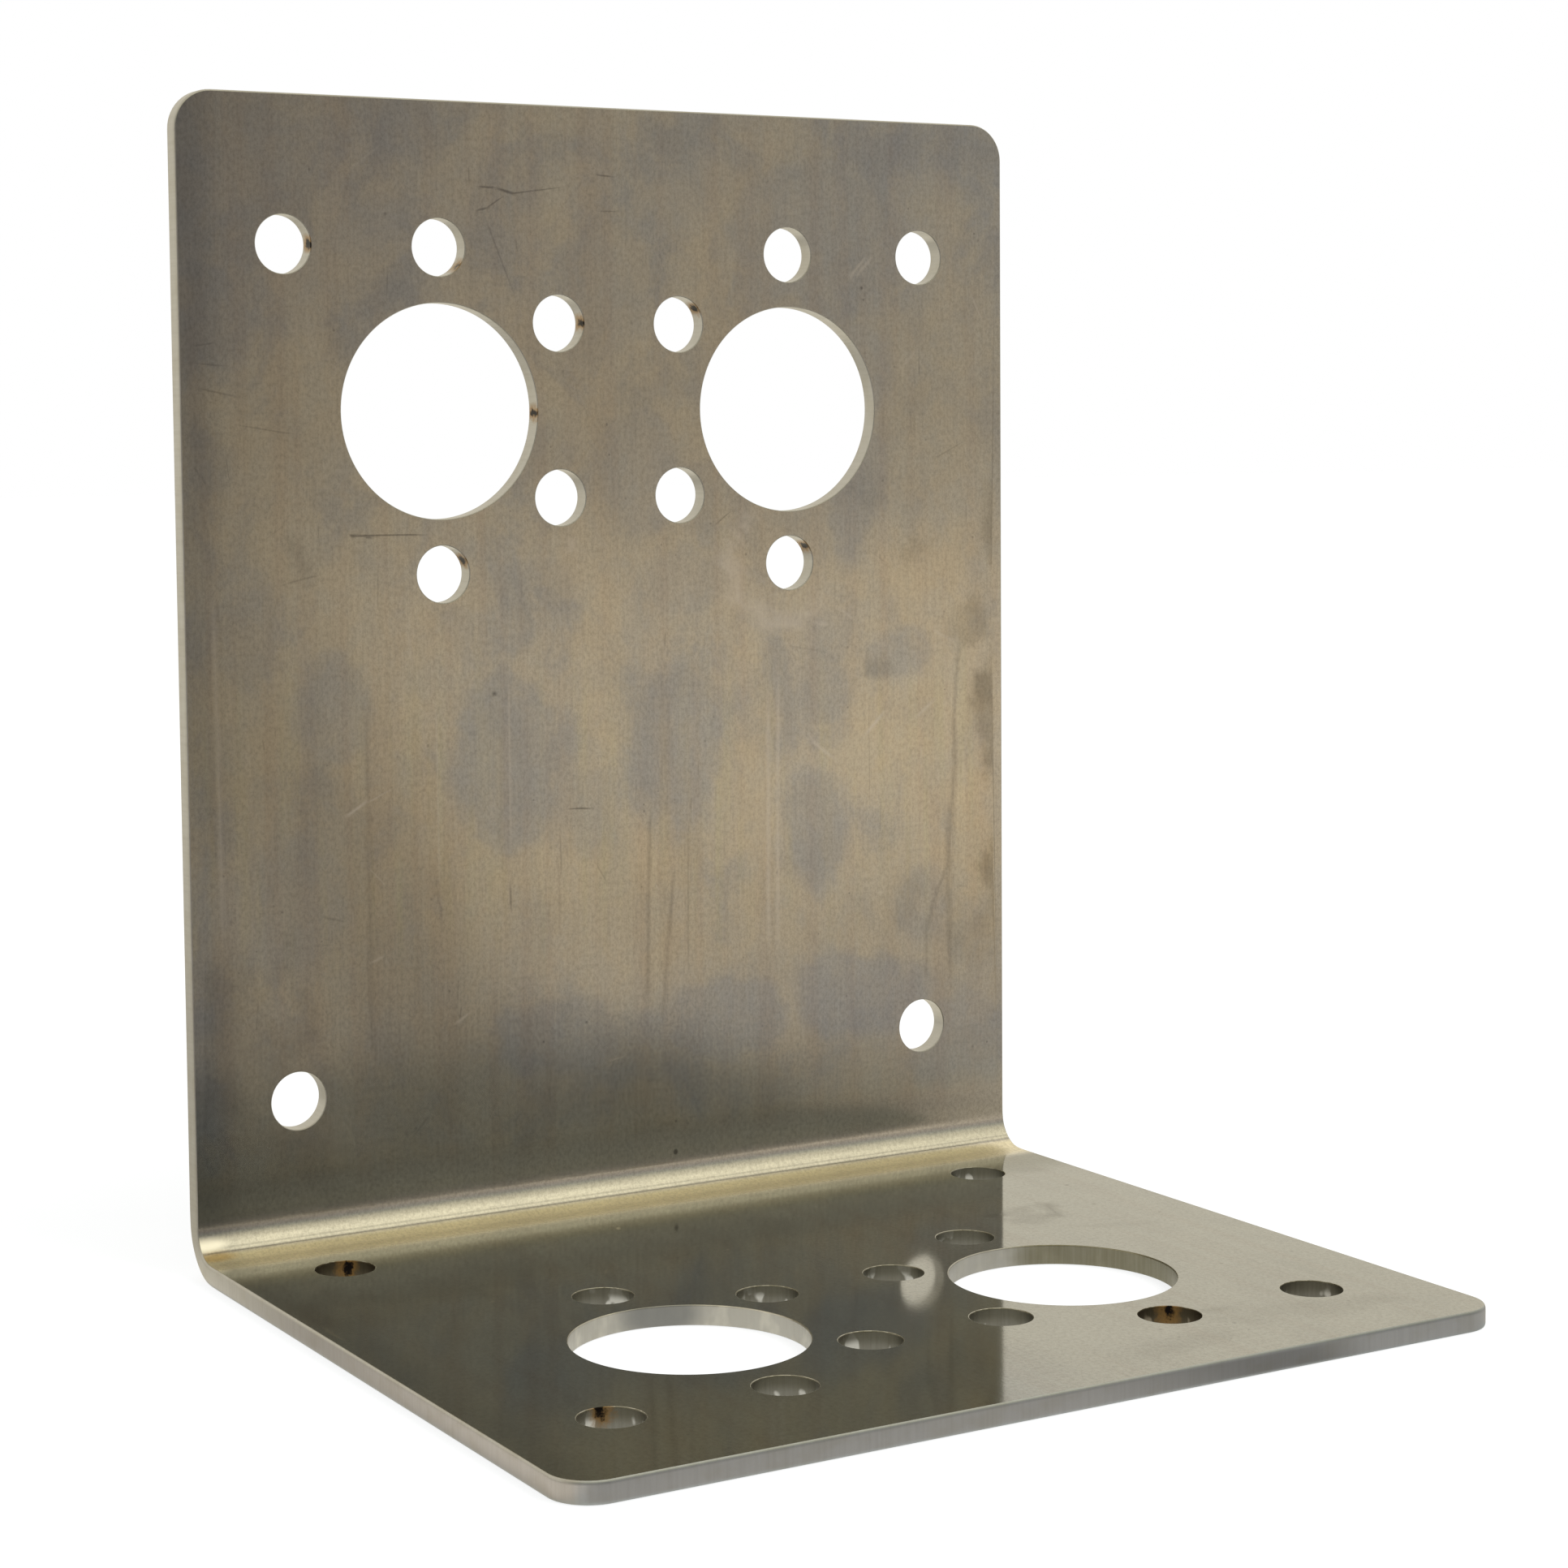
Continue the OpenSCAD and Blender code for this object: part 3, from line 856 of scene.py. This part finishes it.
# The laser-cut edges: duller than the faces, with fine lines across the thickness, and a black
# spot with a brown fringe in the holes where the beam lingered.
EDGE_COLOUR, EDGE_LINE = (0.47, 0.465, 0.445), (0.395, 0.386, 0.365)
PALE_WALL_REFLECTION, GREY_WEDGE_SHADE, PATCH_HIGHLIGHT = (0.74, 0.72, 0.65), (0.28, 0.285, 0.285), (0.85, 0.85, 0.82)
SCORCH, BURN = (0.30, 0.175, 0.06), (0.014, 0.011, 0.01)
FAR_RIM_Y = LOWER_LARGE_Y + LARGE_R
material, start = new_material("stainless_laser_cut_edge")
place = start.attribute("blank")
x, s, t = place.parts()
lines = place.stretched(2.6, 2.6, 0.1).noise(1.0, 4.0, 0.7)
blotch = place.stretched(0.3, 0.3, 0.5).noise(1.0, 3.0, 0.6)
patches = place.stretched(0.5, 0.5, 0.35, (4.0, 0.0, 0.0)).noise(1.0, 2.0, 0.6)

# The burns of each leg and their size: the hole's number, the angle round its rim in degrees, t.
burn = None
for holes, size, burns in (
    (UPRIGHT_HOLES, 0.5, ((5, 2, 1.4), (3, -40, 1.4), (4, 1, 1.4), (11, 36, 1.35), (0, -1, 1.2),
                          (1, 28, 1.1), (8, 37, 1.1))),
    (LOWER_HOLES, 0.6, ((6, 64, 1.2), (5, 80, 1.7), (8, 54, 1.45))),
):
    for number, angle, burn_t in burns:
        hx, hs, r = holes[number]
        a = math.radians(angle)
        spot = place.off((hx + r * math.cos(a), hs + r * math.sin(a), burn_t),
                         (size, size, size + 0.25))
        burn = spot if burn is None else burn.math("MINIMUM", burn, spot)
burn = burn + (place.noise(1.1, 3.0, 0.7) - 0.5) * 3.0
in_hole = start.attribute("hole", "Fac")
colour = start.node("ShaderNodeMix", {"data_type": "RGBA"}, {
    0: lines.step(0.38, 0.72) * (0.35 + in_hole * 0.5), 6: (*EDGE_COLOUR, 1.0),
    7: (*EDGE_LINE, 1.0)}, out=2)
colour = colour.tint(blotch.step(0.4, 0.7) * 0.6, (0.9, 0.88, 0.82))

# In the lower leg's holes: large walls with a painted pale reflection, one with a grey wedge
# of painted reflected shade and one with an olive side of painted shade, and screw holes
# painted darker as shade, with painted highlights in patches low down; the front edge is bluer.
screw = in_hole.step(0.5, 0.9)
scorched = in_hole.step(1.0, 2.0)
wedge_shade = place.off((-17.4, lower_s(FAR_RIM_Y), 1.3), (6.0, 2.6, 2.8)).fall(0.5, 1.15, 0.85)
olive_shade = place.off((31.0, lower_s(FAR_RIM_Y - 7.0), 1.0), (9.6, 13.0, 4.0))
olive_shade = olive_shade.fall(0.75, 1.15)
front = s.fall(FRONT_S + 0.6, FRONT_S + 1.6)
pale_wall_reflection = in_hole * (1.0 - screw) * 2.2
colour = colour.cover(pale_wall_reflection * patches.step(0.30, 0.55, 1.0, 0.5), PALE_WALL_REFLECTION)
colour = colour.cover(wedge_shade, GREY_WEDGE_SHADE)
colour = colour.tint(front, (0.99, 1.06, 1.16))
colour = colour.tint(front * x.step(0.0, 38.0), (0.82, 0.835, 0.85))
colour = colour.tint(olive_shade * (0.7 + lines * 0.5), (0.54, 0.52, 0.41))
# Painted shade and highlight in the screw holes: darker walls, most near the top, and pale patches
# low down.
colour = colour.tint(screw * t.step(0.3, 1.4, 0.65, 1.0), (0.46, 0.45, 0.38))
patch_highlight = patches.step(0.55, 0.63) * t.step(0.7, 1.5, 0.9, 0.1)
colour = colour.cover(screw * patch_highlight, PATCH_HIGHLIGHT)
colour = colour.tint(scorched, (0.42, 0.365, 0.29))
colour = colour.cover(burn.fall(0.9, 2.5, 0.8), SCORCH)
colour = colour.cover(burn.fall(0.5, 1.2), BURN)
roughness = 0.28 + lines * 0.14 + screw * 0.1
bump = start.node("ShaderNodeBump", {}, {"Strength": 0.5, "Distance": 0.00002, "Height": lines})
shader = start.node("ShaderNodeBsdfPrincipled", {}, {
    "Base Color": colour, "Metallic": 1.0, "Roughness": roughness, "Normal": bump})
start.node("ShaderNodeOutputMaterial", {}, {"Surface": shader})
sheet_mesh.materials.append(material)


# The studio: a plain pale floor and backdrop in soft light. In front of the bracket the room is
# left dim near the horizon, so that the upright mirrors it, and grows bright overhead.
def ray_is(start, *kinds):
    """1 for rays of these kinds and 0 for the others."""
    path = start.node("ShaderNodeLightPath")
    total = path.out(kinds[0])
    for kind in kinds[1:]:
        total = total + path.out(kind)
    return total


BACKDROP = (0.87, 0.81, 0.665)
ROOM = [(0.0, (0.325, 0.295, 0.255)), (0.10, (0.265, 0.240, 0.225)), (0.22, (0.225, 0.230, 0.207)),
        (0.34, (0.33, 0.32, 0.255)), (0.48, (0.58, 0.54, 0.41)), (0.68, (0.80, 0.75, 0.565)),
        (0.86, (1.04, 0.98, 0.73)), (1.0, (0.94, 0.885, 0.66))]


def mirrored(east, north, up):
    """What the metal mirrors in a direction: the dim room ahead, or the backdrop behind.

    Low down, the room is darkest at 16 to 18 degrees to the right of straight ahead, and brightens
    to both sides.
    """
    azimuth = east.math("ARCTAN2", east, north * -1.0)
    right, far_right = azimuth.step(math.radians(18), math.radians(24)), azimuth.step(0.48, 0.66)
    left = azimuth.fall(0.0, 0.28)
    low = up.fall(0.25, 0.6)
    level = 1.0 + (right * 0.75 + left * 0.5 + far_right * 0.22 - 0.25) * low
    room = up.node("ShaderNodeValToRGB", {"stops": ROOM}, {0: up})
    room = room.dimmed(room, level)
    side = azimuth.absolute().step(math.radians(58), math.radians(100))
    lit = north.step(-0.3, 0.5, 0.98, 1.1)
    return room.cover(side, room.dimmed(BACKDROP, lit))


world = bpy.data.worlds.new("studio")
world.use_nodes = True
world.node_tree.nodes.clear()
bpy.context.scene.world = world
start = Wire(world.node_tree)
direction = start.node("ShaderNodeTexCoord", out="Generated")
GLOW_AZIMUTH, GLOW_HEIGHT = math.radians(37), math.radians(49)
glow_at = (math.sin(GLOW_AZIMUTH) * math.cos(GLOW_HEIGHT),
           -math.cos(GLOW_AZIMUTH) * math.cos(GLOW_HEIGHT), math.sin(GLOW_HEIGHT))
near = direction.vector("DISTANCE", direction, glow_at, out="Value")
glow = near.math("EXPONENT", near * near * -16.0)
light_in_room = mirrored(*direction.parts()).cover(glow * 0.8, (1.1, 1.04, 0.79))
WHITE = (1.0, 1.0, 1.0, 1.0)
seen = start.node("ShaderNodeBackground", {}, {"Color": WHITE})
glossy = start.node("ShaderNodeBackground", {}, {"Color": light_in_room})
fill = start.node("ShaderNodeBackground", {}, {"Color": WHITE, "Strength": 0.8})
light = start.node("ShaderNodeMixShader", {}, {
    0: ray_is(start, "Is Glossy Ray"), 1: fill, 2: glossy})
light = start.node("ShaderNodeMixShader", {}, {
    0: ray_is(start, "Is Camera Ray", "Is Transmission Ray"), 1: light, 2: seen})
start.node("ShaderNodeOutputWorld", {}, {"Surface": light})

# The floor: pale paper, a hair below the bracket. The camera sees it nearly white and keeps the
# bracket's shadow. The metal mirrors it as the room's light, dimmer beside the bracket, and in
# the holes it fades with the length of the ray.
FLOOR_HALF_W, FLOOR_Z = 4.0, -0.00005
floor_mesh = bpy.data.meshes.new("floor")
floor_mesh.from_pydata([(i * FLOOR_HALF_W, j * FLOOR_HALF_W, FLOOR_Z)
                        for i, j in ((-1, -1), (1, -1), (1, 1), (-1, 1))], [], [range(4)])
floor = bpy.data.objects.new("floor", floor_mesh)
bpy.context.scene.collection.objects.link(floor)
material, start = new_material("floor")
spot = start.node("ShaderNodeTexCoord", out="Object")
east, north, up = spot.parts()
paper = start.node("ShaderNodeBsdfDiffuse", {}, {"Color": (0.35, 0.345, 0.33, 1.0)})
lift = start.node("ShaderNodeEmission", {}, {"Color": (0.97, 0.985, 1.0, 1.0), "Strength": 0.76})
lifted = start.node("ShaderNodeAddShader", {}, {0: paper, 1: lift})
both = start.node("ShaderNodeMixShader", {}, {
    0: ray_is(start, "Is Camera Ray", "Is Transmission Ray"), 1: paper, 2: lifted})
length = start.node("ShaderNodeLightPath", out="Ray Length")
fading = length.step(0.012, 0.03, 0.72, 0.1) + length.step(0.068, 0.088, 0.0, 0.6)
in_holes = start.node("ShaderNodeEmission", {}, {
    "Color": start.dimmed((1.0, 0.975, 0.88), fading)})
away = (east * east + north * north) ** 0.5
beyond = (east.absolute() - PLATE_W / 2 * MM) | (north.absolute() - LOWER_D / 2 * MM)
uneven = east.step(-0.01, 0.04, -0.2, 0.3) - east.step(0.055, 0.095, 0.0, 0.3)
at_side = beyond.fall(0.004, 0.03) * (
    east.fall(-0.052, -0.05) * north.step(-0.03, 0.04, 1.0, -0.45)
    - east.step(0.05, 0.052) * north.step(-0.042, -0.03) * north.fall(0.015, 0.035, 0.8))
strength = (1.0 + away.fall(0.9, 3.6, 0.48) * north.fall(-0.3, 0.0)
            + uneven * away.fall(0.2, 0.45) * beyond.step(0.012, 0.03)) \
    * (beyond.step(0.0, 0.024, 1.5, 1.0) + at_side)
far = start.node("ShaderNodeEmission", {}, {
    "Color": start.dimmed(mirrored(east, north - 0.04, up), strength)})
outside = beyond.step(-0.0002, 0.0008)
around = start.node("ShaderNodeMixShader", {}, {0: outside, 1: in_holes, 2: far})
shader = start.node("ShaderNodeMixShader", {}, {
    0: ray_is(start, "Is Glossy Ray"), 1: both, 2: around})
start.node("ShaderNodeOutputMaterial", {}, {"Surface": shader})
floor_mesh.materials.append(material)

# The key light: a large soft panel high in front, to the right. It lights the floor; the metal
# mirrors the glow around it.
KEY_AZIMUTH, KEY_HEIGHT, KEY_AWAY = math.radians(40.0), math.radians(50.0), 1.2
key_data = bpy.data.lights.new("key_panel", "AREA")
key_data.shape = "RECTANGLE"
key_data.size, key_data.size_y = 0.75, 0.7
key_data.energy = 5.0
key = bpy.data.objects.new("key_panel", key_data)
key_from = Vector((math.sin(KEY_AZIMUTH) * math.cos(KEY_HEIGHT),
                   -math.cos(KEY_AZIMUTH) * math.cos(KEY_HEIGHT), math.sin(KEY_HEIGHT)))
key.location = key_from * KEY_AWAY
key.rotation_euler = key_from.to_track_quat("Z", "Y").to_euler()
key.visible_glossy = False
bpy.context.scene.collection.objects.link(key)

# The camera stands low in front, to the left, as the photograph's did.
CAMERA_RIGHT = Vector((0.867415, -0.497495, -0.009468))
CAMERA_DOWN = Vector((-0.043426, -0.056733, -0.997445))
CAMERA_AHEAD = Vector((0.495686, 0.86561, -0.070815))
CAMERA_AT = (-0.163017, -0.262382, 0.085721)
camera_data = bpy.data.cameras.new("camera")
camera_data.sensor_width = 36.0
camera_data.lens = 73.12
camera_data.shift_x, camera_data.shift_y = 0.0508, -0.0823
camera_data.clip_start, camera_data.clip_end = 0.01, 20.0
camera = bpy.data.objects.new("camera", camera_data)
turned = Matrix((CAMERA_RIGHT, -CAMERA_DOWN, -CAMERA_AHEAD)).transposed().to_4x4()
camera.matrix_world = Matrix.Translation(CAMERA_AT) @ turned
bpy.context.scene.collection.objects.link(camera)
bpy.context.scene.camera = camera
bpy.context.scene.view_settings.view_transform = "Standard"
